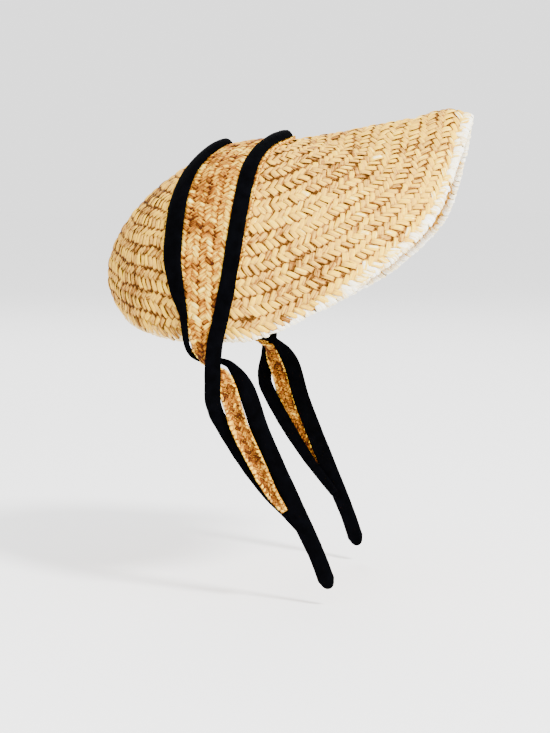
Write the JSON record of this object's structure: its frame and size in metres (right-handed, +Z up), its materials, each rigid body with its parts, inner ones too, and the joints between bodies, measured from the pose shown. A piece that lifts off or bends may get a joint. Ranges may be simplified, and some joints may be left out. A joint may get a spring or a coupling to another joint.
{
  "type": "cocktail hat",
  "caption": "Straw half hat with a pointed upturned front peak, crossed side to side by a velvet-edged straw sash whose twisted ends hang below the rim as ties.",
  "frame": {"origin": "top of the crown's inner face, where the top of the head meets it, in the hat's plane of symmetry", "axes": "+Z up, +X towards the front peak, +Y towards the wearer's left"},
  "size_m": [0.2583, 0.2134, 0.3218],
  "materials": {
    "straw": "pale natural straw in a herringbone weave",
    "sash_straw": "browner natural straw in a finer, crumpled weave",
    "velvet": "black velvet pile"
  },
  "bodies": {
    "root": {"straw_crown": "straw", "straw_sash": "sash_straw", "velvet_front": "velvet", "velvet_rear": "velvet"}
  },
  "joints": []
}
